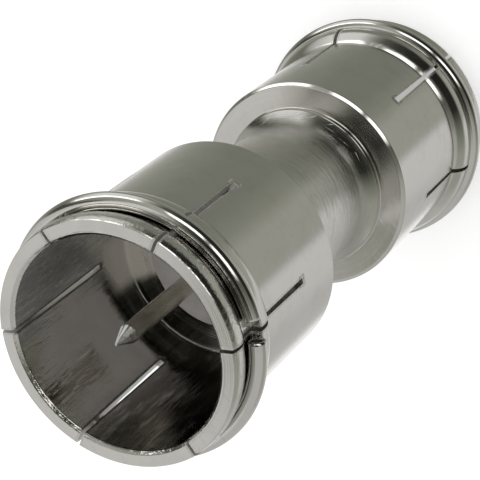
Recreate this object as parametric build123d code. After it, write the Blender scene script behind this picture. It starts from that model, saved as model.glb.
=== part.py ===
from build123d import *
from math import degrees
import os

# Push-on F adapter, male to male: a turned brass body with a slotted mouth at
# each end, a split wire ring round each mouth, a centre pin pointed at both
# ends and two flanged insulators that hold the pin. The body stands on its
# lower mouth, with Z along its axis. All sizes are in millimetres.

# Mouth that pushes over a 3/8 inch threaded port
bore_diameter = 9.5
bore_depth = 9.0
mouth_chamfer = 0.08
floor_chamfer = 0.2

# Lip in front of the ring groove
tip_wall = 0.65
lip_bulge = 0.1
lip_round = 0.35
lip_length = 0.88

# Spring ring and its groove
ring_wire_diameter = 0.76
ring_wire_sides = 16
ring_seat_gap = 0.02
ring_gap = 0.87
ring_gap_turn = 4.0
ring_end_chamfer = 0.1
groove_wall = 0.38
groove_lead = 0.42

# Flange behind the ring, with its flare down to the barrel
flange_rise = 0.44
flange_land = 0.22
flange_chamfer = 0.1
flare_length = 1.0

# Barrel, its end wall, and the neck with a hub at each end
barrel_wall = 0.41
web_thickness = 0.9
shoulder_chamfer = 0.18
neck_length = 8.0
neck_wall = 1.23
hub_rise = 0.4
hub_height = 0.3
hub_blend_length = 1.2

# Saw cuts that part the fingers, each right across the mouth. The fingers are set
# inwards after the sawing, so a cut is narrower at the mouth than at its root.
saw_cut_count = 3
slot_root_width = 0.25
slot_mouth_width = 0.14
finger_root_length = 2.2
saw_offset = 0.3
saw_offset_turn = 50.0
lower_mouth_turn = 40.0
lower_ring_turn = 220.0

# Insulators
stem_diameter = 4.6
stem_fit_gap = 0.02
stem_end_gap = 0.05
rim_width = 0.95
rim_thickness = 0.3
rim_chamfer = 0.05

# Centre pin, with a thicker middle that both insulators hold
pin_diameter = 0.86
pin_middle_diameter = 1.3
pin_fit_gap = 0.02
pin_recess = 0.15
pin_cone_length = 1.0
pin_point_diameter = 0.1

# Radii worked out from the sizes above
bore_radius = bore_diameter / 2
tip_radius = bore_radius + tip_wall
lip_radius = tip_radius + lip_bulge
groove_radius = bore_radius + groove_wall
barrel_radius = bore_radius + barrel_wall
flange_radius = barrel_radius + flange_rise
stem_radius = stem_diameter / 2
stem_bore_radius = stem_radius + stem_fit_gap
neck_radius = stem_bore_radius + neck_wall
hub_radius = neck_radius + hub_rise
rim_radius = stem_radius + rim_width
wire_radius = ring_wire_diameter / 2
ring_radius = groove_radius + ring_seat_gap + wire_radius
pin_radius = pin_diameter / 2
pin_middle_radius = pin_middle_diameter / 2
pin_hole_radius = pin_middle_radius + pin_fit_gap

# Depths worked out from the sizes above, each from the mouth face inwards
groove_front_depth = lip_length + groove_lead
groove_back_depth = groove_front_depth + ring_wire_diameter + 2 * ring_seat_gap
ring_depth = groove_back_depth - ring_seat_gap - wire_radius
flare_start_depth = groove_back_depth + flange_land
flare_end_depth = flare_start_depth + flare_length
slot_depth = bore_depth - finger_root_length
barrel_length = bore_depth + web_thickness
hub_depth = barrel_length + hub_height
neck_start_depth = hub_depth + hub_blend_length
middle_depth = barrel_length + neck_length / 2
stem_end_depth = middle_depth - stem_end_gap
rim_face_depth = bore_depth - rim_thickness
overall_length = 2 * middle_depth


def half_body():
    """Half of the body, turned about Z, with its mouth face at Z = 0 and open upwards."""
    face_start = (bore_radius + mouth_chamfer, 0)
    face_end = (tip_radius, 0)
    lip_start = (lip_radius, -lip_round)
    flare_start = (flange_radius, -flare_start_depth)
    flare_end = (barrel_radius, -flare_end_depth)
    hub_edge = (hub_radius, -hub_depth)
    neck_start = (neck_radius, -neck_start_depth)
    with BuildPart() as half:
        with BuildSketch(Plane.XZ):
            with BuildLine():
                Line(face_start, face_end)
                TangentArc(lip_start, face_end, tangent=(0, 1))
                Polyline(
                    lip_start,
                    (lip_radius, -lip_length),
                    (groove_radius, -groove_front_depth),
                    (groove_radius, -groove_back_depth),
                    (flange_radius - flange_chamfer, -groove_back_depth),
                    (flange_radius, -groove_back_depth - flange_chamfer),
                    flare_start,
                )
                TangentArc(flare_start, flare_end, tangent=(0, -1))
                Polyline(
                    flare_end,
                    (barrel_radius, -barrel_length + shoulder_chamfer),
                    (barrel_radius - shoulder_chamfer, -barrel_length),
                    (hub_radius, -barrel_length),
                    hub_edge,
                )
                TangentArc(neck_start, hub_edge, tangent=(0, 1))
                Polyline(
                    neck_start,
                    (neck_radius, -middle_depth),
                    (stem_bore_radius, -middle_depth),
                    (stem_bore_radius, -bore_depth),
                    (bore_radius - floor_chamfer, -bore_depth),
                    (bore_radius, -bore_depth + floor_chamfer),
                    (bore_radius, -mouth_chamfer),
                    face_start,
                )
            make_face()
        revolve(axis=Axis.Z)
    return half.part


def saw_cut(turn):
    """Thin wedge across a mouth at Z = 0. The cuts of a mouth cross a little off its axis."""
    mouth = slot_mouth_width / 2
    root = slot_root_width / 2
    section = Polyline(
        (-mouth, lip_length),
        (mouth, lip_length),
        (mouth, 0),
        (root, -slot_depth),
        (-root, -slot_depth),
        (-mouth, 0),
        close=True,
    )
    blade = extrude(Plane.YZ * make_face(section), amount=2 * flange_radius, both=True)
    crossing = Vector(saw_offset, 0, 0).rotate(Axis.Z, saw_offset_turn)
    return Pos(crossing) * Rot(0, 0, turn) * blade


def slotted_half(mouth_turn):
    """Half body whose wall is parted into fingers, the first slot at mouth_turn."""
    half = half_body()
    for i in range(saw_cut_count):
        half = half - saw_cut(mouth_turn + i * 180 / saw_cut_count)
    return half


def spring_ring(slot_turn):
    """Split ring of wire behind the lip, with its gap over the slot at slot_turn. The wire's
    many sides stand in for its round section and keep the facets few."""
    gap_angle = degrees(ring_gap / ring_radius)
    wire = Plane.XZ * Pos(ring_radius, -ring_depth) * RegularPolygon(wire_radius, ring_wire_sides)
    hoop = revolve(wire, axis=Axis.Z, revolution_arc=360 - gap_angle)
    cut_ends = hoop.faces().filter_by(GeomType.PLANE).filter_by(Axis.Z, reverse=True)
    hoop = chamfer(cut_ends.edges(), ring_end_chamfer)
    return Rot(0, 0, slot_turn + ring_gap_turn + gap_angle / 2) * hoop


def insulator():
    """Flanged bush: its rim lies on the bore floor and its stem fills half the neck."""
    outline = Polyline(
        (pin_hole_radius, -rim_face_depth),
        (rim_radius - rim_chamfer, -rim_face_depth),
        (rim_radius, -rim_face_depth - rim_chamfer),
        (rim_radius, -bore_depth),
        (stem_radius, -bore_depth),
        (stem_radius, -stem_end_depth),
        (pin_hole_radius, -stem_end_depth),
        close=True,
    )
    return revolve(Plane.XZ * make_face(outline), axis=Axis.Z)


def center_pin():
    """Pin pointed at both ends, a little short of both mouth faces. Its thicker middle
    ends flush with the insulators' rims."""
    low = pin_recess
    high = overall_length - pin_recess
    low_shoulder = rim_face_depth
    high_shoulder = overall_length - rim_face_depth
    point_radius = pin_point_diameter / 2
    outline = Polyline(
        (0, low),
        (point_radius, low),
        (pin_radius, low + pin_cone_length),
        (pin_radius, low_shoulder),
        (pin_middle_radius, low_shoulder),
        (pin_middle_radius, high_shoulder),
        (pin_radius, high_shoulder),
        (pin_radius, high - pin_cone_length),
        (point_radius, high),
        (0, high),
        close=True,
    )
    return revolve(Plane.XZ * make_face(outline), axis=Axis.Z)


def at_upper_mouth(shape):
    """Puts a shape made round a mouth at Z = 0 at the upper end."""
    return Pos(0, 0, overall_length) * shape


def at_lower_mouth(shape):
    """Puts a shape made round a mouth at Z = 0 at the lower end, upside down."""
    return mirror(shape, about=Plane.XY)


upper_half = at_upper_mouth(slotted_half(0))
lower_half = at_lower_mouth(slotted_half(lower_mouth_turn))

parts = {
    "adapter_body": upper_half + lower_half,
    "center_pin": center_pin(),
    "insulator_top": at_upper_mouth(insulator()),
    "insulator_bottom": at_lower_mouth(insulator()),
    "spring_ring_top": at_upper_mouth(spring_ring(0)),
    "spring_ring_bottom": at_lower_mouth(spring_ring(lower_ring_turn)),
}

os.makedirs("parts", exist_ok=True)
for name, part in parts.items():
    export_step(part, f"parts/{name}.step")
    print(name, round(part.volume, 3), "mm3")
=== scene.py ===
"""Push-on coaxial F adapter, male to male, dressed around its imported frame.

Laid out as an add-on and run as a script. Every length is in metres, with Z along the
adapter's axis and the lower mouth standing on the floor at Z = 0.
"""

from math import atan2, cos, pi, radians, sin

import bmesh
import bpy
from bpy.props import FloatProperty, FloatVectorProperty, IntProperty, PointerProperty
from mathutils import Matrix, Vector


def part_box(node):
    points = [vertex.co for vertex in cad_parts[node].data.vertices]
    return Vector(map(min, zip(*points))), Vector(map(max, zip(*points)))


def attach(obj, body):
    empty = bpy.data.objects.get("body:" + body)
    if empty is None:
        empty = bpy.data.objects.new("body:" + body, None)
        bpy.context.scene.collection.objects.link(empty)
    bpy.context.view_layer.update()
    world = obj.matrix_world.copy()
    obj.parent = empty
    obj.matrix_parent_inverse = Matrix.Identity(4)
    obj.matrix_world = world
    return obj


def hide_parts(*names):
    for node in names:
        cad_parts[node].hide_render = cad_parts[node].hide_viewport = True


bl_info = {
    "name": "Push-on F Adapter",
    "version": (1, 0, 0),
    "blender": (4, 5, 0),
    "location": "3D View > Sidebar > F Adapter",
    "description": "Makes a slotted push-on coaxial adapter and the stage that it stands on",
    "category": "Object",
}

MM = 0.001
BODY = "root"

# Colours of the white stage, how much the seen floor is lifted, and the light from all round
WHITE = (1.0, 1.0, 1.0, 1.0)
FLOOR_PAINT = (0.8, 0.8, 0.8, 1.0)
FLOOR_LIFT = 0.42
SKY_LIGHT = 0.85

# How finely the meshes are divided, and the angle in degrees above which an edge stays sharp
BODY_SEGMENTS = 288
PIN_SEGMENTS = 96
INSULATOR_SEGMENTS = 144
FLOOR_SEGMENTS = 96
TENT_SUBDIVISIONS = 5
CORNER_STEPS = 4
RING_POINTS = 420
WIRE_SIDES = 40
BLADE_POINTS_ACROSS = 110
BLADE_POINTS_DOWN = 60
CREASE = 35

# Largest share of a side that a round takes, and where the round's neighbour lies beside it
ROUND_SHARE = 0.3
NEIGHBOUR_REACH = 1.4

# Added to the number of an upper finger, so that no lower one leans by the same chance
UPPER_FINGER_NUMBER = 20.0

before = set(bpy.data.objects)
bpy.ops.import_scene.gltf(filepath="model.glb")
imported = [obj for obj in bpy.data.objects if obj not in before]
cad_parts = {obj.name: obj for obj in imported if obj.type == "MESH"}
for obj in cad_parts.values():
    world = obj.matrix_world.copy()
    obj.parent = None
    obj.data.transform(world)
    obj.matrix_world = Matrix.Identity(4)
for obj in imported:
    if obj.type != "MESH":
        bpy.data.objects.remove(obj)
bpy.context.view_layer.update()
body_low, body_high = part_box("adapter_body")
pin_low, pin_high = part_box("center_pin")
rim_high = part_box("insulator_top")[1]
ring_low, ring_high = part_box("spring_ring_top")


def length(name, description, default):
    """A length that a user would change, in metres."""
    return FloatProperty(name=name, description=description, default=default, min=0.0,
                         precision=6, subtype="DISTANCE", unit="LENGTH")


def angle(name, description, degrees):
    """An angle that a user would change."""
    return FloatProperty(name=name, description=description, default=radians(degrees),
                         subtype="ANGLE", unit="ROTATION")


def color(name, description, default):
    """A linear colour that a user would change."""
    return FloatVectorProperty(name=name, description=description, default=default, size=3,
                               min=0.0, max=1.0, subtype="COLOR")


class BodySizes(bpy.types.PropertyGroup):
    """Sizes of the turned body and of the saw cuts in its mouths."""

    height: length("Height", "Length from mouth to mouth", body_high[2] - body_low[2])
    bore_diameter: length("Bore", "Diameter of the mouth that pushes over a port", 9.5 * MM)
    bore_depth: length("Bore Depth", "Depth of the mouth to its floor", 9.0 * MM)
    tip_wall: length("Tip Wall", "Width of the flat face round the mouth", 0.65 * MM)
    lip_bulge: length("Lip Bulge", "How far the lip stands out past the flat face", 0.1 * MM)
    lip_round: length("Lip Round", "Depth of the lip's rounded edge", 0.38 * MM)
    lip_land: length("Lip Land", "Straight stretch of the lip's side", 0.12 * MM)
    lip_length: length("Lip Length", "Depth of the whole lip", 0.88 * MM)
    groove_lead: length("Groove Lead", "Length of the slope down into the groove", 0.42 * MM)
    groove_wall: length("Groove Wall", "Wall left under the groove", 0.38 * MM)
    groove_width: length("Groove Width", "Length of the groove's floor", 0.8 * MM)
    barrel_wall: length("Barrel Wall", "Wall of the plain barrel", 0.41 * MM)
    flange_rise: length("Flange Rise", "How far the flange stands out of the barrel", 0.44 * MM)
    flange_land: length("Flange Land", "Length of the flange before its flare", 0.22 * MM)
    flare_length: length("Flare Length", "Length of the curve from flange to barrel", 1.0 * MM)
    web_thickness: length("Web Thickness", "Wall between bore floor and shoulder", 0.9 * MM)
    neck_diameter: length("Neck", "Diameter of the neck", 7.1 * MM)
    hub_rise: length("Hub Rise", "How far the hub stands out of the neck", 0.4 * MM)
    hub_height: length("Hub Height", "Length of the hub before its blend", 0.3 * MM)
    hub_blend: length("Hub Blend", "Length of the curve from hub to neck", 1.2 * MM)
    stem_bore: length("Stem Bore", "Bore through the neck for the insulators", 4.64 * MM)
    mouth_chamfer: length("Mouth Chamfer", "Slope on the mouth's inner edge", 0.14 * MM)
    floor_step: length("Floor Step", "Radius of the drill's step on the bore floor", 3.98 * MM)
    floor_step_width: length("Floor Step Width", "Width of the drill's step", 0.34 * MM)
    floor_step_depth: length("Floor Step Depth", "Depth of the drill's step", 0.06 * MM)
    floor_step_slope: length("Floor Step Slope", "Width of the step's sloping sides", 0.04 * MM)
    edge_round: length("Edge Round", "Small round left on a turned edge", 0.045 * MM)
    fine_round: length("Fine Round", "Round left on the edge of a chamfer", 0.03 * MM)
    step_round: length("Step Round", "Round left on the edges of the drill's step", 0.02 * MM)
    flange_round: length("Flange Round", "Round on the edge of the flange", 0.1 * MM)
    hub_round: length("Hub Round", "Round on the crest of the hub", 0.06 * MM)
    floor_round: length("Floor Round", "Round in the corner of the bore floor", 0.2 * MM)
    shoulder_chamfer: length("Shoulder Chamfer", "Slope on the edge of the shoulder", 0.14 * MM)
    cut_count: IntProperty(name="Saw Cuts", description="Cuts right across each mouth",
                           default=3, min=1)
    slot_root_width: length("Slot Root Width", "Width of each saw cut at its root", 0.25 * MM)
    slot_mouth_width: length("Slot Mouth Width", "Width of each saw cut at the mouth", 0.14 * MM)
    slot_depth: length("Slot Depth", "Depth of the saw cuts from the mouth", 6.8 * MM)
    cut_offset: length("Cut Offset", "How far from the axis the saw cuts cross", 0.3 * MM)
    cut_offset_turn: angle("Cut Offset Turn", "Direction in which the cuts are off the axis", 50)
    lower_turn: angle("Lower Mouth Turn", "Turn of the lower mouth's first cut", 40)
    finger_bend: length("Finger Bend", "Furthest that a finger's tip leans inwards", 0.06 * MM)
    cut_roughness: length("Cut Roughness", "How far the saw wandered from side to side", 0.035 * MM)


class RingSizes(bpy.types.PropertyGroup):
    """Sizes of the two split wire rings."""

    wire_diameter: length("Wire", "Diameter of the spring wire", ring_high[2] - ring_low[2])
    ring_diameter: length("Ring", "Outside diameter of the ring", 2 * ring_high[1])
    gap: length("Gap", "Gap between the ring's two ends", 0.87 * MM)
    gap_turn: angle("Gap Turn", "Turn of the gap from the cut that it lies over", 4)
    lower_ring_turn: angle("Lower Ring Turn", "Turn of the cut under its gap", 220)
    end_round: length("End Round", "Round on the wire's cut ends", 0.12 * MM)


class InnerSizes(bpy.types.PropertyGroup):
    """Sizes of the centre pin and of the insulators that hold it."""

    pin_diameter: length("Pin", "Diameter of the pin where a port grips it", 0.86 * MM)
    pin_middle: length("Pin Middle", "Diameter of the pin inside the insulators", 1.3 * MM)
    pin_cone: length("Pin Cone", "Length of each pointed end", 1.0 * MM)
    pin_point: length("Pin Point", "Diameter left at the tip of each point", 0.1 * MM)
    fit_gap: length("Fit Gap", "Gap round the pin in its hole", 0.02 * MM)
    rim_thickness: length("Rim Thickness", "Thickness of the insulator's rim", 0.3 * MM)
    stem_diameter: length("Stem", "Diameter of the insulator's stem", 4.6 * MM)


class FinishColors(bpy.types.PropertyGroup):
    """Colours of the finishes."""

    nickel: color("Nickel", "Plating on the turned body", (0.62, 0.61, 0.585))
    nickel_dull: color("Dull Nickel", "Plating where it is rubbed or stained", (0.5, 0.48, 0.43))
    # Painted shade: a darker, browner tint, mixed thinly into the bore walls as the shade of the
    # hollow
    bore: color("Bore", "Plating down in the bores, where it is thin", (0.5, 0.475, 0.415))
    pin: color("Pin", "Plating on the pin", (0.64, 0.62, 0.565))
    # Dark tint for painted shade in the saw cuts and down one side of the bores, and for the darker
    # edges and roots of the cuts
    cut_and_bore_shade: color("Saw Cut", "Dirt in the bores and saw cuts", (0.12, 0.11, 0.095))
    # Painted shade: nearly black, on one side of the bore floor, where the floor only mirrors
    # darkness
    shade: color("Shade", "Dark dirt on one side of the bore floor", (0.036, 0.033, 0.0285))
    # Painted highlight: a pale patch deep in the bore that stands in for a soft glare
    painted_glare: color("Rubbed", "Pale rubbed patch deep in the bore", (0.92, 0.88, 0.8))
    # Painted highlight: pale stripes on the pin's point
    painted_pin_glint: color("Ground", "Flats ground on the pin's point", (0.95, 0.95, 0.93))
    wire: color("Spring Wire", "Drawn wire of the rings", (0.64, 0.63, 0.605))
    plastic: color("Insulator", "Moulded plastic of the insulators", (0.74, 0.7, 0.68))


class StageSettings(bpy.types.PropertyGroup):
    """The camera, lamp, tent and floor."""

    aim_height: length("Aim Height", "Height on the axis that the camera looks at", 16.708 * MM)
    camera_distance: length("Camera Distance", "Distance from the aim point", 77.858 * MM)
    camera_azimuth: angle("Camera Azimuth", "Direction of the camera round the axis", 37.518)
    camera_elevation: angle("Camera Elevation", "Height angle of the camera", 53.921)
    camera_roll: angle("Camera Roll", "Turn of the picture about the view line", 130.184)
    lens: FloatProperty(name="Lens", description="Focal length in millimetres", default=130.5)
    lamp_power: FloatProperty(name="Lamp Power", description="Power in watts", default=0.45)
    lamp_size: length("Lamp Size", "Side of the square lamp", 0.5)
    lamp_azimuth: angle("Lamp Azimuth", "Direction of the lamp round the axis", 110)
    lamp_elevation: angle("Lamp Elevation", "Height angle of the lamp", 50)
    lamp_distance: length("Lamp Distance", "Distance from the aim point", 0.6)
    floor_radius: length("Floor Radius", "Radius of the round floor", 1.2)
    tent_radius: length("Tent Radius", "Radius of the tent that the metal reflects", 0.3)


def rounded(corners, closed):
    """Points of a half section from its corners, each a radius, a height and a round. A close
    neighbour beside each round keeps smooth shading from spreading over the flats."""
    spots = [Vector((radius, height)) for radius, height, corner in corners]
    ends = () if closed else (0, len(spots) - 1)
    made = []
    for i, (point, (radius, height, corner)) in enumerate(zip(spots, corners)):
        if corner == 0.0 or i in ends:
            made.append(point)
            continue
        before = spots[i - 1] - point
        after = spots[(i + 1) % len(spots)] - point
        reach = min(corner, ROUND_SHARE * before.length, ROUND_SHARE * after.length)
        first = point + before.normalized() * reach
        last = point + after.normalized() * reach
        made.append(point + before.normalized() * reach * NEIGHBOUR_REACH)
        for k in range(CORNER_STEPS + 1):
            t = k / CORNER_STEPS
            made.append(first * (1 - t) ** 2 + point * (2 * t * (1 - t)) + last * t ** 2)
        made.append(point + after.normalized() * reach * NEIGHBOUR_REACH)
    return made


def tangent_arc(start, end, steps):
    """Points of the arc that leaves start parallel to the axis and ends at end."""
    across = end[0] - start[0]
    along = end[1] - start[1]
    radius = (across ** 2 + along ** 2) / (2 * across)
    centre = start[0] + radius
    sweep = atan2(abs(along), abs(radius) - abs(across))
    side = -1 if radius > 0 else 1
    way = 1 if along > 0 else -1
    points = []
    for k in range(steps + 1):
        a = sweep * k / steps
        points.append((centre + side * abs(radius) * cos(a), start[1] + way * abs(radius) * sin(a)))
    return points


def new_object(name, mesh):
    """Puts a mesh in the scene as an object of its own."""
    piece = bpy.data.objects.new(name, mesh)
    bpy.context.scene.collection.objects.link(piece)
    return piece


def built_object(name, build):
    """Puts a bmesh in the scene as an object of its own, and frees it."""
    mesh = bpy.data.meshes.new(name)
    build.to_mesh(mesh)
    build.free()
    return new_object(name, mesh)


def turned_piece(name, points, segments):
    """Piece made by turning points of radius and height about Z. Where the points start and end
    on the axis, the piece is solid there, and elsewhere the outline is a loop."""
    solid = points[0][0] == 0.0
    rings = points[1:-1] if solid else points
    build = bmesh.new()
    turned = []
    for point in rings:
        ring = []
        for s in range(segments):
            a = 2 * pi * s / segments
            ring.append(build.verts.new((point[0] * cos(a), point[0] * sin(a), point[1])))
        turned.append(ring)
    pairs = len(turned) - 1 if solid else len(turned)
    for i in range(pairs):
        here = turned[i]
        there = turned[(i + 1) % len(turned)]
        for s in range(segments):
            t = (s + 1) % segments
            build.faces.new((here[s], here[t], there[t], there[s]))
    if solid:
        for ring, point in ((turned[0], points[0]), (turned[-1], points[-1])):
            pole = build.verts.new((0, 0, point[1]))
            for s in range(segments):
                build.faces.new((pole, ring[s], ring[(s + 1) % segments]))
    bmesh.ops.recalc_face_normals(build, faces=build.faces)
    return built_object(name, build)


def finish_piece(piece, node, material):
    """Smooths a piece's faces up to its creases, and lets it stand for a node of the frame."""
    mesh = piece.data
    mesh.materials.clear()
    mesh.materials.append(material)
    for face in mesh.polygons:
        face.use_smooth = True
    mesh.set_sharp_from_angle(angle=radians(CREASE))
    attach(piece, BODY)
    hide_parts(node)


def find_socket(sockets, key):
    """The input whose name is key, or whose name with underscores for spaces is key."""
    for socket in sockets:
        if socket.enabled and socket.name.replace(" ", "_") == key:
            return socket
    raise KeyError(f"no input named {key} among {[socket.name for socket in sockets]}")


class Value:
    """A node's output in an expression. Arithmetic on it adds Math nodes to its tree."""

    def __init__(self, tree, socket):
        self.tree = tree
        self.socket = socket

    def __add__(self, other):
        return self.tree.math("ADD", self, other)

    def __sub__(self, other):
        return self.tree.math("SUBTRACT", self, other)

    def __rsub__(self, other):
        return self.tree.math("SUBTRACT", other, self)

    def __mul__(self, other):
        return self.tree.math("MULTIPLY", self, other)

    def __truediv__(self, other):
        return self.tree.math("DIVIDE", self, other)

    def __rtruediv__(self, other):
        return self.tree.math("DIVIDE", other, self)

    __radd__ = __add__
    __rmul__ = __mul__


class NodeTree:
    """Nodes written as expressions, where each step gives a value that later ones take."""

    def __init__(self, tree):
        self.nodes = tree.nodes
        self.links = tree.links

    def put(self, socket, given):
        """Links a value to a socket, or sets the socket to a number, vector or colour."""
        if isinstance(given, Value):
            self.links.new(given.socket, socket)
        else:
            socket.default_value = given

    def node(self, kind, settings=None, output=0, **inputs):
        """One output of a new node, whose settings are made before its inputs. A list goes to an
        input that joins several values."""
        node = self.nodes.new(kind)
        for key, setting in (settings or {}).items():
            setattr(node, key, setting)
        for key, given in inputs.items():
            socket = find_socket(node.inputs, key)
            for one in given if isinstance(given, list) else [given]:
                self.put(socket, one)
        return Value(self, node.outputs[output])

    def math(self, operation, *values):
        """The result of one Math node on values and numbers."""
        node = self.nodes.new("ShaderNodeMath")
        node.operation = operation
        for socket, given in zip(node.inputs, values):
            self.put(socket, given)
        return Value(self, node.outputs[0])

    def vector(self, x=0.0, y=0.0, z=0.0):
        """A vector put together from three values."""
        return self.node("ShaderNodeCombineXYZ", X=x, Y=y, Z=z)

    def split(self, vector):
        """The three values of a vector."""
        node = self.nodes.new("ShaderNodeSeparateXYZ")
        self.put(node.inputs[0], vector)
        return [Value(self, socket) for socket in node.outputs]


class PieceTree(NodeTree):
    """A geometry node tree with named inputs, which shapes one piece."""

    def __init__(self, name):
        self.group = bpy.data.node_groups.new(name, "GeometryNodeTree")
        for way in ("INPUT", "OUTPUT"):
            self.group.interface.new_socket("Geometry", in_out=way,
                                            socket_type="NodeSocketGeometry")
        super().__init__(self.group)
        self.source = self.nodes.new("NodeGroupInput")
        self.result = self.nodes.new("NodeGroupOutput")
        self.values = {}

    def value(self, name, number):
        """A named input of the tree and its number on the piece."""
        kind = "NodeSocketInt" if isinstance(number, int) else "NodeSocketFloat"
        socket = self.group.interface.new_socket(name, in_out="INPUT", socket_type=kind)
        self.values[socket.identifier] = number
        return Value(self, self.source.outputs[name])

    def numbers(self, sizes, *names):
        """Named inputs of the tree for some of the piece's sizes."""
        return [self.value(name, getattr(sizes, name)) for name in names]

    def given_mesh(self):
        """The piece's mesh as it is before the tree."""
        return Value(self, self.source.outputs[0])

    def apply(self, piece, geometry, material):
        """Ends the tree with real instances and a material. Its result becomes the piece's mesh."""
        real = self.node("GeometryNodeRealizeInstances", Geometry=geometry)
        dressed = self.node("GeometryNodeSetMaterial", Geometry=real, Material=material)
        self.put(self.result.inputs[0], dressed)
        modifier = piece.modifiers.new(self.group.name, "NODES")
        modifier.node_group = self.group
        for identifier, number in self.values.items():
            modifier[identifier] = number
        graph = bpy.context.evaluated_depsgraph_get()
        mesh = bpy.data.meshes.new_from_object(piece.evaluated_get(graph))
        piece.modifiers.remove(modifier)
        piece.data = mesh
        mesh.name = piece.name


class Graph(NodeTree):
    """A material's nodes."""

    def __init__(self, name):
        self.material = bpy.data.materials.new(name)
        self.material.use_nodes = True
        super().__init__(self.material.node_tree)
        self.nodes.clear()

    def between(self, value, low, high):
        """A soft step from 0 at low to 1 at high."""
        return self.node("ShaderNodeMapRange", {"interpolation_type": "SMOOTHSTEP"},
                         Value=value, From_Min=low, From_Max=high, To_Min=0.0, To_Max=1.0)

    def below(self, value, low, high):
        """A soft step from 1 at low to 0 at high."""
        return 1.0 - self.between(value, low, high)

    def mix(self, factor, first, second):
        """A colour between two colours."""
        node = self.nodes.new("ShaderNodeMix")
        node.data_type = "RGBA"
        self.put(node.inputs[0], factor)
        for socket, given in ((node.inputs[6], first), (node.inputs[7], second)):
            self.put(socket, given if isinstance(given, Value) else (*given, 1.0))
        return Value(self, node.outputs[2])

    def ramp(self, place, stops):
        """A grey that follows stops, each a place from 0 to 1 and a grey."""
        value = self.node("ShaderNodeValToRGB", Fac=place)
        elements = value.socket.node.color_ramp.elements
        while len(elements) < len(stops):
            elements.new(1.0)
        for element, (position, shade) in zip(elements, stops):
            element.position = position
            element.color = (shade, shade, shade, 1.0)
        return value

    def noise(self, vector, scale, detail, roughness):
        """Soft noise from 0 to 1 on a vector."""
        return self.node("ShaderNodeTexNoise", Vector=vector, Scale=scale, Detail=detail,
                         Roughness=roughness)

    def surface(self, tint, metal, roughness, height, strength, distance):
        """Ends the material with a principled shader, whose bumps come from a height."""
        bump = self.node("ShaderNodeBump", Strength=strength, Distance=distance, Height=height)
        shader = self.node("ShaderNodeBsdfPrincipled", Base_Color=tint, Metallic=metal,
                           Roughness=roughness, Normal=bump)
        return self.finish(shader)

    def finish(self, shader):
        """Links the shader to the material's surface."""
        output = self.nodes.new("ShaderNodeOutputMaterial")
        self.put(output.inputs["Surface"], shader)
        return self.material


def round_axis(graph):
    """The object's own coordinates as (x, y, z, radius) values, in metres."""
    x, y, z = graph.split(graph.node("ShaderNodeTexCoord", output="Object"))
    return x, y, z, graph.math("SQRT", x * x + y * y)


def round_noise(graph, axis, turns, level, detail, roughness):
    """Noise from 0 to 1 that varies with the turn round the axis and with a level."""
    x, y, z, radius = axis
    reach = graph.math("MAXIMUM", radius, 0.1 * MM)
    around = graph.vector(x / reach * turns, y / reach * turns, level)
    return graph.noise(around, 1.0, detail, roughness)


def turning_marks(graph, axis, pitch, wander):
    """Fine rings left by the lathe tool, from 0 to 1. They run round the axis and fade in and
    out with the turn."""
    x, y, z, radius = axis
    return round_noise(graph, axis, wander, (z + radius * 0.8) / pitch, 3.0, 0.65)


def toward(graph, axis, degrees, low=0.74, high=0.94, smallest=0.1 * MM):
    """1 on the side of the axis that lies in a direction, fading out on both sides of it and
    nearer the axis than the smallest radius."""
    x, y, z, radius = axis
    a = radians(degrees)
    reach = graph.math("MAXIMUM", radius, smallest)
    return graph.between((x * cos(a) + y * sin(a)) / reach, low, high)


def slot_distance(graph, x, y, sizes, turn):
    """Distance from the middle plane of the nearest saw cut of a mouth."""
    across = sizes.cut_offset * cos(sizes.cut_offset_turn)
    along = sizes.cut_offset * sin(sizes.cut_offset_turn)
    nearest = None
    for i in range(sizes.cut_count):
        a = turn + i * pi / sizes.cut_count
        gap = graph.math("ABSOLUTE", (x - across) * sin(a) - (y - along) * cos(a))
        nearest = gap if nearest is None else graph.math("MINIMUM", nearest, gap)
    return nearest


def slot_marks(graph, axis, sizes, depth, grain):
    """Where the saw left its marks, as (burr, root, chips, sawn): the rolled burr beside each
    cut, the cut's root, the torn metal round the root, and the sawn faces."""
    x, y, z, radius = axis
    end = sizes.slot_depth
    upper = graph.between(z, sizes.height / 2 - 1 * MM, sizes.height / 2 + 1 * MM)
    low_gap = slot_distance(graph, x, y, sizes, sizes.lower_turn)
    high_gap = slot_distance(graph, x, y, sizes, 0.0)
    widening = (sizes.slot_root_width - sizes.slot_mouth_width) / 2 / end
    half_width = depth * widening + sizes.slot_mouth_width / 2
    beside = low_gap + (high_gap - low_gap) * upper - half_width
    ragged = beside + (grain - 0.5) * 0.24 * MM
    at_root = graph.between(depth, end - 0.3 * MM, end - 0.2 * MM)
    at_root = at_root * graph.below(depth, end + 0.16 * MM, end + 0.24 * MM)
    burr = graph.below(ragged, 0.03 * MM, 0.1 * MM)
    burr = burr * graph.below(depth, end + 0.08 * MM, end + 0.14 * MM)
    root = at_root * graph.below(beside, 0.01 * MM, 0.05 * MM)
    chips = at_root * graph.below(ragged, 0.04 * MM, 0.14 * MM)
    sawn = graph.below(beside, 0.0, 0.03 * MM)
    sawn = sawn * graph.below(depth, end + 0.02 * MM, end + 0.04 * MM)
    return burr, root, chips, sawn


# Sides of the bores that carry a mark, painted shade or a painted highlight, as directions round
# the axis in degrees
STREAKED_SHADE_SIDE = -86
SHADED_SIDE = -132
BRUSHED_SIDE = 152
GLARE_SIDE = 182
SHADED_CUT_SIDE = 0

# The two painted highlights on the pin's point: direction in degrees, and where each fades in
PIN_HIGHLIGHTS = ((124, 0.955, 0.975), (88, 0.975, 0.99))


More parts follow.
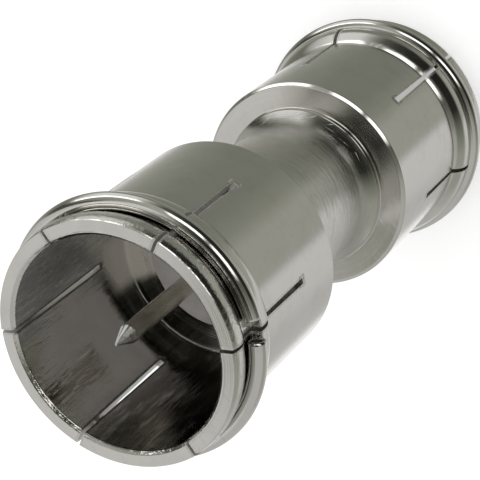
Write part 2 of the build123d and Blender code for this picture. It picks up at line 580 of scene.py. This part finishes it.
def nickel_finish(colors, sizes):
    """Bright nickel on turned brass: tool rings all over, rougher on the neck, with slanting
    hairlines outside and struck edges at the lips. The bores are scratched lengthways and tinted
    with a little painted shade. Painted shade darkens one side of the bore floor, streaks down
    another side and lies on the sawn faces on one side. The cuts' edges and roots in the bores are
    darker, one side is brushed, and a painted highlight lies pale deep down on another side."""
    graph = Graph("nickel_plate")
    axis = round_axis(graph)
    x, y, z, radius = axis
    depth = graph.math("MINIMUM", z, sizes.height - z)
    # Where on the body a point lies
    bore = sizes.bore_diameter / 2
    rim = bore + sizes.tip_wall
    floor = sizes.bore_depth
    shoulder = floor + sizes.web_thickness
    inside = graph.below(depth, floor + 0.05 * MM, floor + 0.1 * MM)
    inside = inside * graph.below(radius, bore + 0.02 * MM, bore + 0.05 * MM)
    wall = inside * graph.between(radius, bore - 0.12 * MM, bore - 0.06 * MM)
    neck = graph.between(depth, shoulder + 0.2 * MM, shoulder + 0.6 * MM)
    lip = graph.below(depth, sizes.lip_length, sizes.lip_length + 0.3 * MM)
    lip = lip * graph.between(radius, rim - 0.02 * MM, rim + 0.03 * MM)
    mouth_edge = graph.below(depth, 0.16 * MM, 0.2 * MM)
    mouth_edge = mouth_edge * graph.below(radius, bore + 0.14 * MM, bore + 0.18 * MM)
    # Noises, from the broadest to the finest, and the marks of the lathe
    place = graph.vector(x, y, z)
    cloud = graph.noise(place, 700.0, 3.0, 0.6)
    dents = graph.noise(place, 4200.0, 3.0, 0.6)
    grain = graph.noise(place, 22000.0, 2.0, 0.6)
    fine = turning_marks(graph, axis, 0.045 * MM, 1.1)
    broad = turning_marks(graph, axis, 0.3 * MM, 0.8)
    along = round_noise(graph, axis, 26, z / (2.2 * MM), 4.0, 0.7)
    deep = round_noise(graph, axis, 7, z / (3.5 * MM), 3.0, 0.6)
    # Scratches and the saw's marks
    scratch = graph.between(along, 0.5, 0.7) * wall
    streak = graph.between(deep, 0.5, 0.62) * wall
    burr, root, chips, sawn = slot_marks(graph, axis, sizes, depth, grain)
    slant = graph.vector((x * 0.5 + y * 0.35 + z * 0.8) / (0.05 * MM),
                         (x * 0.6 - z * 0.5) / (1.4 * MM), y / (1.4 * MM))
    hairline = graph.between(graph.noise(slant, 1.0, 2.0, 0.6), 0.64, 0.72)
    hairline = hairline * (1.0 - inside) * (0.35 + neck * 0.35)
    # Sides of the bores: painted shade, brushing and a painted highlight
    # Painted shade in streaks down one side of the bore walls
    shade_streaks = graph.between(deep + along * 0.4, 0.5, 0.72) * wall
    streaked_shade = toward(graph, axis, STREAKED_SHADE_SIDE) * shade_streaks
    # Painted shade on one side of the bore floor
    shaded = toward(graph, axis, SHADED_SIDE) * (inside - wall)
    brushed = toward(graph, axis, BRUSHED_SIDE) * wall
    low_down = graph.between(depth, floor - 2.2 * MM, floor - 0.9 * MM)
    # Painted highlight deep in the bore on one side: paler, less metallic and rougher
    painted_glare = toward(graph, axis, GLARE_SIDE, 0.95, 0.985) * low_down * inside
    # Painted shade on the sawn faces of the cuts on one side
    cut_side_shade = toward(graph, axis, SHADED_CUT_SIDE, 0.85, 0.95) * 0.6
    # Colour: real stains, then painted shade, darker cut edges and a painted highlight
    stain = graph.between(cloud, 0.45, 0.8) * (0.32 + wall * 0.1)
    # Darker edges and roots of the cuts in the bore, with painted shade on the sawn faces on one
    # side and in streaks down one side of the bore
    dark_cut_edges = graph.math("MAXIMUM", burr, root) * wall * 0.95
    shade_and_dark_edges = graph.math("MAXIMUM", sawn * cut_side_shade, dark_cut_edges)
    shade_and_dark_edges = graph.math("MAXIMUM", shade_and_dark_edges, streaked_shade * 0.85)
    tint = graph.mix(stain, colors.nickel, colors.nickel_dull)
    # The bore walls take a little painted shade, the cuts and one bore side painted shade and
    # darker cut edges, one side of the bore floor painted shade, and deep down a painted highlight
    for share, cover in (
        (wall * 0.12, colors.bore), (shade_and_dark_edges, colors.cut_and_bore_shade), (shaded * 0.92, colors.shade),
        (painted_glare, colors.painted_glare),
    ):
        tint = graph.mix(share, tint, cover)
    metal = 1.0 - brushed * (0.15 + along * 0.36) - painted_glare * 0.85 - sawn * (0.3 - cut_side_shade * 0.4)
    # Roughness and relief
    worn = fine * 0.035 + graph.between(broad, 0.45, 0.7) * 0.02 + neck * 0.04 + lip * 0.05
    roughness = 0.062 + worn + scratch * 0.06 + stain * 0.06
    roughness = roughness + sawn * 0.25 + brushed * 0.16 + painted_glare * 0.2
    rings = (fine * 0.75 + broad * 0.4) * (0.7 + neck * 1.6 - inside * 0.4)
    struck = (lip * 5.0 + mouth_edge * 4.0) * dents
    marks = scratch * 0.5 + streak * 0.9 + struck - hairline * 0.7
    torn = chips * (1.0 - inside) * dents * 12.0
    height = rings + grain * (0.2 - inside * 0.15) + marks - burr * (0.6 + grain * 2.0) + torn
    return graph.surface(tint, metal, roughness, height, 0.6, 0.009 * MM)


def wire_finish(colors):
    """Drawn spring wire, bright and nearly smooth."""
    graph = Graph("spring_wire")
    place = graph.vector(*round_axis(graph)[:3])
    worn = graph.noise(place, 2500.0, 3.0, 0.6)
    pits = graph.noise(place, 14000.0, 2.0, 0.5)
    tint = graph.mix(graph.between(worn, 0.55, 0.8) * 0.5, colors.wire, colors.nickel_dull)
    roughness = 0.07 + graph.between(worn, 0.5, 0.8) * 0.1
    return graph.surface(tint, 1.0, roughness, pits, 0.12, 0.01 * MM)


def pin_finish(colors, cone_start):
    """Smooth plating on the pin. Its pointed ends keep the rings of the tool that cut them, and
    carry two painted highlights, pale and less metallic stripes."""
    graph = Graph("pin_plate")
    axis = round_axis(graph)
    z = axis[2]
    depth = graph.math("MINIMUM", z, body_low[2] + body_high[2] - z)
    cone = graph.below(depth, cone_start - 0.02 * MM, cone_start)
    point = graph.below(depth, cone_start - 0.6 * MM, cone_start - 0.1 * MM)
    # Painted highlights on two sides of the pin's point
    flats = [toward(graph, axis, *flat, smallest=0.05 * MM) for flat in PIN_HIGHLIGHTS]
    painted_pin_glint = graph.math("MAXIMUM", *flats) * cone
    fine = turning_marks(graph, axis, 0.03 * MM, 0.3)
    tint = graph.mix(painted_pin_glint, graph.mix(cone, colors.pin, colors.wire), colors.painted_pin_glint)
    roughness = 0.09 + fine * 0.06 + cone * 0.05 + point * 0.06
    height = fine * (0.12 + cone * 1.8)
    return graph.surface(tint, 1.0 - painted_pin_glint * 0.85, roughness, height, 1.0, 0.012 * MM)


def plastic_finish(colors):
    """Pale moulded plastic with faint flow marks."""
    graph = Graph("insulator_plastic")
    axis = round_axis(graph)
    flow = graph.noise(graph.vector(*axis[:3]), 1500.0, 3.0, 0.55)
    rings = turning_marks(graph, axis, 0.12 * MM, 0.5)
    darker = [0.87 * part for part in colors.plastic]
    tint = graph.mix(graph.between(flow, 0.35, 0.75), colors.plastic, darker)
    height = rings * 0.6 + flow * 0.4
    return graph.surface(tint, 0.0, 0.42 + flow * 0.18, height, 0.25, 0.01 * MM)


def arc_steps(start, end, steps, corner=0.0):
    """Steps of (radius, depth, corner) along an arc, from the shallow end to the deep one. The
    arc leaves start parallel to the axis, and the corner is the round where it meets end."""
    made = []
    for radius, depth in sorted(tangent_arc(start, end, steps), key=lambda point: point[1]):
        at_end = abs(depth - end[1]) < 1e-9
        made.append((radius, depth, corner if at_end else 0.0))
    return made


def outer_steps(sizes):
    """Steps of (radius, depth, corner) down the outside of one end, from mouth to neck."""
    bore = sizes.bore_diameter / 2
    tip = bore + sizes.tip_wall
    lip = tip + sizes.lip_bulge
    groove = bore + sizes.groove_wall
    barrel = bore + sizes.barrel_wall
    flange = barrel + sizes.flange_rise
    neck = sizes.neck_diameter / 2
    hub = neck + sizes.hub_rise
    groove_front = sizes.lip_length + sizes.groove_lead
    groove_back = groove_front + sizes.groove_width
    flare_start = groove_back + sizes.flange_land
    flare_end = flare_start + sizes.flare_length
    shoulder = sizes.bore_depth + sizes.web_thickness
    hub_depth = shoulder + sizes.hub_height
    neck_start = hub_depth + sizes.hub_blend
    lead_start = sizes.lip_round + sizes.lip_land
    return [
        (tip, 0.0, sizes.edge_round),
        *arc_steps((lip, sizes.lip_round), (tip, 0.0), 7),
        *arc_steps((lip, lead_start), (groove, groove_front), 10),
        (groove, groove_back, sizes.edge_round),
        (flange, groove_back, sizes.flange_round),
        *arc_steps((flange, flare_start), (barrel, flare_end), 12),
        (barrel, shoulder - sizes.shoulder_chamfer, sizes.fine_round),
        (barrel - sizes.shoulder_chamfer, shoulder, sizes.fine_round),
        (hub, shoulder, sizes.edge_round),
        *arc_steps((neck, neck_start), (hub, hub_depth), 8, sizes.hub_round),
    ]


def inner_steps(sizes):
    """Steps of (radius, depth, corner) down the bore of one end, from mouth to stem bore."""
    bore = sizes.bore_diameter / 2
    floor = sizes.bore_depth
    slope = sizes.floor_step_slope
    step_outer = sizes.floor_step
    step_inner = step_outer - sizes.floor_step_width
    step_floor = floor + sizes.floor_step_depth
    return [
        (bore + sizes.mouth_chamfer, 0.0, sizes.fine_round),
        (bore, sizes.mouth_chamfer, sizes.fine_round),
        (bore, floor, sizes.floor_round),
        (step_outer, floor, sizes.step_round),
        (step_outer - slope, step_floor, sizes.step_round),
        (step_inner + slope, step_floor, sizes.step_round),
        (step_inner, floor, sizes.step_round),
        (sizes.stem_bore / 2, floor, sizes.edge_round),
    ]


def body_outline(sizes):
    """Half section of the whole body: down its outside from the upper mouth to the lower one,
    and back up its inside."""
    outer = outer_steps(sizes)
    inner = inner_steps(sizes)
    corners = []
    for steps, upper in ((outer, True), (outer[::-1], False), (inner, False), (inner[::-1], True)):
        for radius, depth, corner in steps:
            corners.append((radius, sizes.height - depth if upper else depth, corner))
    return without_repeats(rounded(corners, closed=True))


def without_repeats(points):
    """The points of a loop without any that lies on the one before it."""
    kept = []
    for point in points:
        if not kept or (point - kept[-1]).length > 1e-7:
            kept.append(point)
    if (kept[0] - kept[-1]).length <= 1e-7:
        kept.pop()
    return kept


def saw_blade(tree, reach, width, mouth_width, depth):
    """A blade across the axis, as thick as the slot's root at both edges and thinner in the
    middle, where the mouth is. It is finely divided, so that it can wander."""
    size = tree.vector(reach, width, depth * 2.0)
    blade = tree.node("GeometryNodeMeshCube", Size=size, Vertices_X=BLADE_POINTS_ACROSS,
                      Vertices_Y=2, Vertices_Z=BLADE_POINTS_DOWN)
    x, y, z = tree.split(tree.node("GeometryNodeInputPosition"))
    share = mouth_width / width
    taper = share + (1.0 - share) * (tree.math("ABSOLUTE", z) / depth)
    tapered = tree.vector(x, y * taper, z)
    return tree.node("GeometryNodeSetPosition", Geometry=blade, Position=tapered)


def cut_slots(piece, sizes, material):
    """Saws each mouth into fingers: thin blades, a little off the axis and not quite straight,
    are taken out of the turned body. Each finger then leans inwards by its own amount."""
    tree = PieceTree("saw_cuts")
    width, mouth_width, depth, wander, count = tree.numbers(
        sizes, "slot_root_width", "slot_mouth_width", "slot_depth", "cut_roughness", "cut_count")
    offset, offset_turn, lower_turn, height, bend = tree.numbers(
        sizes, "cut_offset", "cut_offset_turn", "lower_turn", "height", "finger_bend")
    # Blades, shaken a little, and taken out of the body
    blade_length = tree.value("blade_length", 4 * (sizes.bore_diameter / 2 + sizes.tip_wall))
    blade = saw_blade(tree, blade_length, width, mouth_width, depth)
    step = pi / count
    across = offset * tree.math("COSINE", offset_turn)
    along = offset * tree.math("SINE", offset_turn)
    cuts = []
    for level, turn in ((height, 0.0), (0.0, lower_turn)):
        line = tree.node("GeometryNodeMeshLine", Count=count, Start_Location=(0, 0, 0),
                         Offset=(0, 0, 0))
        spin = tree.node("GeometryNodeInputIndex") * step + turn
        blades = tree.node("GeometryNodeInstanceOnPoints", Points=line, Instance=blade,
                           Rotation=tree.vector(z=spin))
        cuts.append(tree.node("GeometryNodeTransform", Geometry=blades,
                              Translation=tree.vector(across, along, level)))
    joined = tree.node("GeometryNodeJoinGeometry", Geometry=cuts)
    real = tree.node("GeometryNodeRealizeInstances", Geometry=joined)
    position = tree.node("GeometryNodeInputPosition")
    noise = tree.node("ShaderNodeTexNoise", {"noise_dimensions": "3D"}, "Color", Vector=position,
                      Scale=2600.0, Detail=4.0, Roughness=0.65)
    drift = tree.vector(*((part - 0.5) * wander for part in tree.split(noise)))
    wavy = tree.node("GeometryNodeSetPosition", Geometry=real, Offset=drift)
    sawn = tree.node("GeometryNodeMeshBoolean", {"operation": "DIFFERENCE", "solver": "EXACT"},
                     Mesh_1=tree.given_mesh(), Mesh_2=wavy)
    # Fingers, each with a number of its own, that lean in more towards the mouth
    x, y, z = tree.split(position)
    upper = tree.math("GREATER_THAN", z, height * 0.5)
    turned = tree.math("ARCTAN2", y - along, x - across) - (1.0 - upper) * lower_turn
    finger = tree.math("FLOOR", turned / step) + upper * UPPER_FINGER_NUMBER
    chance = tree.node("ShaderNodeTexWhiteNoise", {"noise_dimensions": "1D"}, "Value", W=finger)
    from_mouth = tree.math("MINIMUM", z, height - z)
    free = tree.math("MAXIMUM", 1.0 - from_mouth / depth, 0.0)
    inward = free * free * chance * bend * -1.0
    outward = tree.node("ShaderNodeVectorMath", {"operation": "NORMALIZE"},
                        Vector=tree.vector(x, y))
    shift = tree.node("ShaderNodeVectorMath", {"operation": "SCALE"}, Vector=outward, Scale=inward)
    bent = tree.node("GeometryNodeSetPosition", Geometry=sawn, Offset=shift)
    tree.apply(piece, bent, material)


def wound_ring(name, sizes, level, turn, material):
    """Split wire ring: an arc of wire round the axis, with its points closer together towards
    its slightly rounded ends."""
    middle = (sizes.ring_diameter - sizes.wire_diameter) / 2
    piece = new_object(name, bpy.data.meshes.new(name))
    tree = PieceTree(name + "_wire")
    radius = tree.value("ring_radius", middle)
    wire_radius = tree.value("wire_radius", sizes.wire_diameter / 2)
    gap_angle = tree.value("gap_angle", sizes.gap / middle)
    gap_turn = tree.value("gap_turn", turn)
    height = tree.value("height", level)
    end_round = tree.value("end_round", sizes.end_round)
    count = tree.value("points", RING_POINTS)
    line = tree.node("GeometryNodeMeshLine", Count=count, Start_Location=(0, 0, 0),
                     Offset=(0, 0, 1))
    share = tree.node("GeometryNodeInputIndex") / (count - 1.0)
    eased = (1.0 - tree.math("COSINE", share * pi)) * 0.5
    around = gap_turn + gap_angle * 0.5 + (2 * pi - gap_angle) * eased
    spot = tree.vector(radius * tree.math("COSINE", around), radius * tree.math("SINE", around),
                       height)
    bent = tree.node("GeometryNodeSetPosition", Geometry=line, Position=spot)
    path = tree.node("GeometryNodeMeshToCurve", Mesh=bent)
    run = tree.node("GeometryNodeSplineParameter", output="Length")
    whole = tree.node("GeometryNodeSplineLength", output="Length")
    from_end = tree.math("MINIMUM", run, whole - run)
    fall = 1.0 - tree.math("MINIMUM", from_end / end_round, 1.0)
    lost = (1.0 - tree.math("SQRT", 1.0 - fall * fall)) * end_round
    section = tree.node("GeometryNodeCurvePrimitiveCircle", Resolution=WIRE_SIDES, Radius=1.0)
    swept = tree.node("GeometryNodeCurveToMesh", Curve=path, Profile_Curve=section,
                      Scale=wire_radius - lost, Fill_Caps=True)
    tree.apply(piece, swept, material)
    return piece


class ADAPTER_OT_turn_body(bpy.types.Operator):
    """Turn the body and saw its two mouths into fingers"""

    bl_idname = "adapter.turn_body"
    bl_label = "Turn Body"

    def execute(self, context):
        sizes = context.scene.adapter_body
        material = nickel_finish(context.scene.adapter_colors, sizes)
        piece = turned_piece("turned_body", body_outline(sizes), BODY_SEGMENTS)
        cut_slots(piece, sizes, material)
        finish_piece(piece, "adapter_body", material)
        return {"FINISHED"}


class ADAPTER_OT_wind_rings(bpy.types.Operator):
    """Wind the split wire ring of each mouth"""

    bl_idname = "adapter.wind_rings"
    bl_label = "Wind Rings"

    def execute(self, context):
        sizes = context.scene.adapter_rings
        material = wire_finish(context.scene.adapter_colors)
        for end, cut_turn in (("top", 0.0), ("bottom", sizes.lower_ring_turn)):
            node = "spring_ring_" + end
            low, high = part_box(node)
            level = (low[2] + high[2]) / 2
            turn = cut_turn + sizes.gap_turn
            piece = wound_ring("wire_ring_" + end, sizes, level, turn, material)
            finish_piece(piece, node, material)
        return {"FINISHED"}


class ADAPTER_OT_turn_pin(bpy.types.Operator):
    """Turn the centre pin, pointed at both ends"""

    bl_idname = "adapter.turn_pin"
    bl_label = "Turn Pin"

    def execute(self, context):
        sizes = context.scene.adapter_inner
        low, high = pin_low[2], pin_high[2]
        rim = rim_high[2]
        thin = sizes.pin_diameter / 2
        thick = sizes.pin_middle / 2
        point = sizes.pin_point / 2
        half = [
            (0.0, 0.0, 0.0),
            (point, 0.0, 0.03 * MM),
            (thin, sizes.pin_cone, 0.05 * MM),
            (thin, high - rim, 0.01 * MM),
            (thick, high - rim, 0.02 * MM),
        ]
        corners = [(radius, low + depth, corner) for radius, depth, corner in half]
        corners += [(radius, high - depth, corner) for radius, depth, corner in half[::-1]]
        material = pin_finish(context.scene.adapter_colors, low + sizes.pin_cone)
        piece = turned_piece("pointed_pin", rounded(corners, closed=False), PIN_SEGMENTS)
        finish_piece(piece, "center_pin", material)
        return {"FINISHED"}


class ADAPTER_OT_mould_insulators(bpy.types.Operator):
    """Mould the flanged insulator of each mouth"""

    bl_idname = "adapter.mould_insulators"
    bl_label = "Mould Insulators"

    def execute(self, context):
        sizes = context.scene.adapter_inner
        material = plastic_finish(context.scene.adapter_colors)
        hole = sizes.pin_middle / 2 + sizes.fit_gap
        stem = sizes.stem_diameter / 2
        for end, way in (("top", 1), ("bottom", -1)):
            node = "insulator_" + end
            low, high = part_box(node)
            rim = high[0]
            inner, outer = (low[2], high[2])[::way]
            seat = outer - way * sizes.rim_thickness
            corners = [
                (hole, outer, 0.04 * MM), (rim, outer, 0.07 * MM), (rim, seat, 0.02 * MM),
                (stem, seat, 0.02 * MM), (stem, inner, 0.05 * MM), (hole, inner, 0.02 * MM),
            ]
            points = rounded(corners, closed=True)
            piece = turned_piece("bush_" + end, points, INSULATOR_SEGMENTS)
            finish_piece(piece, node, material)
        return {"FINISHED"}


def seen_directly(tree):
    """1 for what the camera or a reflection sees, and 0 for light that falls on a surface."""
    camera, glossy, transmitted = (
        tree.node("ShaderNodeLightPath", output=f"Is {ray} Ray")
        for ray in ("Camera", "Glossy", "Transmission")
    )
    return tree.math("MINIMUM", camera + glossy + transmitted, 1.0)


def floor_finish():
    """White floor that keeps the shadow of what stands on it. For the camera and in mirror
    reflections it is lifted to the white of the backdrop."""
    graph = Graph("white_floor")
    paint = graph.node("ShaderNodeBsdfDiffuse", Color=FLOOR_PAINT, Roughness=0.0)
    glow = seen_directly(graph) * FLOOR_LIFT
    lift = graph.node("ShaderNodeEmission", Color=WHITE, Strength=glow)
    both = graph.nodes.new("ShaderNodeAddShader")
    graph.put(both.inputs[0], paint)
    graph.put(both.inputs[1], lift)
    return graph.finish(Value(graph, both.outputs[0]))


# How bright each band of the tent is all the way round, as turns in degrees and levels
TENT_CEILING = (
    (-180, 0.45), (-120, 0.4), (-85, 0.2), (-60, 0.05), (30, 0.03), (110, 0.1), (180, 0.45),
)
TENT_ROOF = (
    (-180, 1.0), (-162, 0.9), (-147, 0.77), (-138, 0.32), (-110, 0.55), (-85, 0.6), (-52, 0.56),
    (-38, 0.36), (-24, 0.09), (-8, 0.02), (3, 0.01), (35, 0.01), (60, 0.02), (78, 0.08), (88, 0.22),
    (100, 0.6), (125, 0.9), (155, 0.75), (172, 1.0), (180, 1.0),
)
TENT_WALL = (
    (-180, 0.7), (-150, 0.78), (-115, 0.75), (-100, 0.6), (-60, 0.6), (-35, 0.58), (-15, 0.48),
    (-2, 0.26), (12, 0.14), (60, 0.08), (72, 0.12), (84, 0.45), (98, 0.5), (148, 0.3), (152, 0.08),
    (162, 0.1), (167, 0.66), (180, 0.7),
)
TENT_HIGH_WINDOW = ((51, 0.0), (56, 2.4), (80, 2.4), (87, 0.0))
TENT_LOW_WINDOW = ((98, 0.0), (104, 2.4), (142, 2.4), (148, 0.0))
TENT_TUBE = ((16, 0.0), (27, 2.2), (44, 2.2), (50, 0.0))
TENT_DOORWAY = (
    (-180, 0.62), (-75, 0.6), (-55, 0.45), (-30, 0.42), (-10, 0.2), (5, 0.03), (37, 0.02),
    (63, 0.03), (75, 0.06), (86, 0.12), (95, 0.4), (105, 0.9), (128, 0.95), (140, 0.7),
    (150, 0.2), (165, 0.3), (180, 0.62),
)
TENT_TABLE = (
    (-180, 0.55), (-165, 0.85), (-150, 1.0), (-110, 1.0), (-95, 0.58), (-67, 0.6), (-47, 0.72),
    (-14, 0.77), (-7, 0.46), (30, 0.45), (47, 0.33), (70, 0.265), (110, 0.265), (132, 0.3),
    (152, 0.34), (172, 0.42), (180, 0.55),
)

# A level that no part of the tent passes, since a colour ramp only holds 0 to 1
TENT_LEVEL = 2.5

# Each band above the table with the heights, in degrees, over which it takes the place of the
# one below it, and each light that hangs before the bands with its foot and its top
TENT_BANDS = (
    (TENT_DOORWAY, -40.0, -30.0), (TENT_WALL, 1.0, 10.0), (TENT_ROOF, 50.0, 56.5),
    (TENT_CEILING, 64.0, 74.0),
)
TENT_LIGHTS = (
    (TENT_HIGH_WINDOW, 14.0, 37.0), (TENT_LOW_WINDOW, 5.0, 20.0), (TENT_TUBE, 16.0, 41.0),
)


def tent_band(graph, turn, levels):
    """The level of one band of the tent at a turn that runs from 0 to 1."""
    stops = [(place / 360 + 0.5, level / TENT_LEVEL) for place, level in levels]
    return graph.ramp(turn, stops)


def tent_finish(centre):
    """Cloth tent round the part, seen only in its reflections. Its bands are the table, a
    doorway, a wall, a roof and a ceiling, and two windows and a lamp tube hang before them."""
    graph = Graph("studio_tent")
    x, y, z, radius = round_axis(graph)
    rise = graph.math("ARCTAN2", z - centre, radius) * (180 / pi)
    turn = graph.math("ARCTAN2", y, x) / (2 * pi) + 0.5
    level = tent_band(graph, turn, TENT_TABLE)
    for levels, low, high in TENT_BANDS:
        level = graph.mix(graph.between(rise, low, high), level, tent_band(graph, turn, levels))
    for levels, low, high in TENT_LIGHTS:
        seen = graph.between(rise, low - 4, low + 4) * graph.below(rise, high - 2, high + 3)
        level = graph.math("MAXIMUM", level, tent_band(graph, turn, levels) * seen)
    bright = graph.between(level, 0.12, 0.26)
    tint = graph.mix(bright, (0.95, 0.98, 0.83), (1.0, 0.99, 0.97))
    shader = graph.node("ShaderNodeEmission", Color=tint, Strength=level * TENT_LEVEL)
    return graph.finish(shader)


def direction(azimuth, elevation):
    """Unit vector towards a place round the part, from two angles in radians."""
    level = cos(elevation)
    return Vector((level * cos(azimuth), level * sin(azimuth), sin(elevation)))


class ADAPTER_OT_set_stage(bpy.types.Operator):
    """Set the floor, the tent, the lamp and the camera"""

    bl_idname = "adapter.set_stage"
    bl_label = "Set Stage"

    def execute(self, context):
        scene = context.scene
        settings = scene.adapter_stage
        aim = Vector((0, 0, settings.aim_height))
        self.set_floor(settings)
        self.set_tent(settings, aim)
        self.set_world(scene)
        self.set_lamp(scene, settings, aim)
        self.set_camera(scene, settings, aim)
        scene.view_settings.view_transform = "Standard"
        return {"FINISHED"}

    def set_floor(self, settings):
        """A round white floor under the part."""
        build = bmesh.new()
        bmesh.ops.create_circle(build, cap_ends=True, segments=FLOOR_SEGMENTS,
                                 radius=settings.floor_radius)
        floor = built_object("floor", build)
        floor.data.materials.append(floor_finish())
        floor.visible_glossy = False

    def set_tent(self, settings, aim):
        """The tent that the metal reflects."""
        build = bmesh.new()
        bmesh.ops.create_icosphere(build, subdivisions=TENT_SUBDIVISIONS,
                                   radius=settings.tent_radius, matrix=Matrix.Translation(aim))
        bmesh.ops.reverse_faces(build, faces=build.faces)
        material = tent_finish(aim[2])
        material.cycles.emission_sampling = "NONE"
        tent = built_object("tent", build)
        tent.data.materials.append(material)
        tent.visible_camera = False
        tent.visible_diffuse = False
        tent.visible_shadow = False

    def set_world(self, scene):
        """White light from all round, pure white where it is seen directly."""
        world = bpy.data.worlds.new("white_studio")
        world.use_nodes = True
        tree = NodeTree(world.node_tree)
        sky = tree.nodes["Background"]
        tree.put(sky.inputs["Color"], WHITE)
        lift = seen_directly(tree) * (1.0 - SKY_LIGHT)
        tree.put(sky.inputs["Strength"], lift + SKY_LIGHT)
        scene.world = world

    def set_lamp(self, scene, settings, aim):
        """Square area lamp that points at the part. The tent already shows the windows in
        reflections, so the lamp itself isn't mirrored."""
        light = bpy.data.lights.new("soft_window", "AREA")
        light.energy = settings.lamp_power
        light.size = settings.lamp_size
        lamp = bpy.data.objects.new("soft_window", light)
        scene.collection.objects.link(lamp)
        way = direction(settings.lamp_azimuth, settings.lamp_elevation)
        lamp.location = aim + way * settings.lamp_distance
        lamp.rotation_euler = way.to_track_quat("Z", "Y").to_euler()
        lamp.visible_glossy = False

    def set_camera(self, scene, settings, aim):
        """The camera at the picture's viewing angle."""
        lens = bpy.data.cameras.new("camera")
        lens.lens = settings.lens
        lens.sensor_width = 36.0
        lens.clip_start = 5 * MM
        lens.clip_end = 10.0
        camera = bpy.data.objects.new("camera", lens)
        scene.collection.objects.link(camera)
        roll = settings.camera_roll
        back = direction(settings.camera_azimuth, settings.camera_elevation)
        level = Vector((0, 0, 1)).cross(back).normalized()
        rise = back.cross(level)
        right = level * cos(roll) - rise * sin(roll)
        up = rise * cos(roll) + level * sin(roll)
        turn = Matrix((right, up, back)).transposed().to_4x4()
        camera.matrix_world = Matrix.Translation(aim + back * settings.camera_distance) @ turn
        scene.camera = camera


class ADAPTER_PT_panel(bpy.types.Panel):
    """Lists the steps that make the adapter"""

    bl_label = "F Adapter"
    bl_idname = "ADAPTER_PT_panel"
    bl_space_type = "VIEW_3D"
    bl_region_type = "UI"
    bl_category = "F Adapter"

    def draw(self, context):
        layout = self.layout
        for operator in OPERATORS:
            layout.operator(operator.bl_idname)
        for group in PROPERTY_GROUPS:
            settings = getattr(context.scene, group)
            box = layout.box()
            for name in settings.__annotations__:
                box.prop(settings, name)


OPERATORS = (
    ADAPTER_OT_turn_body,
    ADAPTER_OT_wind_rings,
    ADAPTER_OT_turn_pin,
    ADAPTER_OT_mould_insulators,
    ADAPTER_OT_set_stage,
)
PROPERTY_GROUPS = {
    "adapter_body": BodySizes,
    "adapter_rings": RingSizes,
    "adapter_inner": InnerSizes,
    "adapter_colors": FinishColors,
    "adapter_stage": StageSettings,
}


def register():
    for group in PROPERTY_GROUPS.values():
        bpy.utils.register_class(group)
    for name, group in PROPERTY_GROUPS.items():
        setattr(bpy.types.Scene, name, PointerProperty(type=group))
    for operator in OPERATORS:
        bpy.utils.register_class(operator)
    bpy.utils.register_class(ADAPTER_PT_panel)


def unregister():
    bpy.utils.unregister_class(ADAPTER_PT_panel)
    for operator in reversed(OPERATORS):
        bpy.utils.unregister_class(operator)
    for name in PROPERTY_GROUPS:
        delattr(bpy.types.Scene, name)
    for group in reversed(PROPERTY_GROUPS.values()):
        bpy.utils.unregister_class(group)


def main():
    """Makes every piece and the stage."""
    register()
    bpy.ops.adapter.turn_body()
    bpy.ops.adapter.wind_rings()
    bpy.ops.adapter.turn_pin()
    bpy.ops.adapter.mould_insulators()
    bpy.ops.adapter.set_stage()


if __name__ == "__main__":
    main()
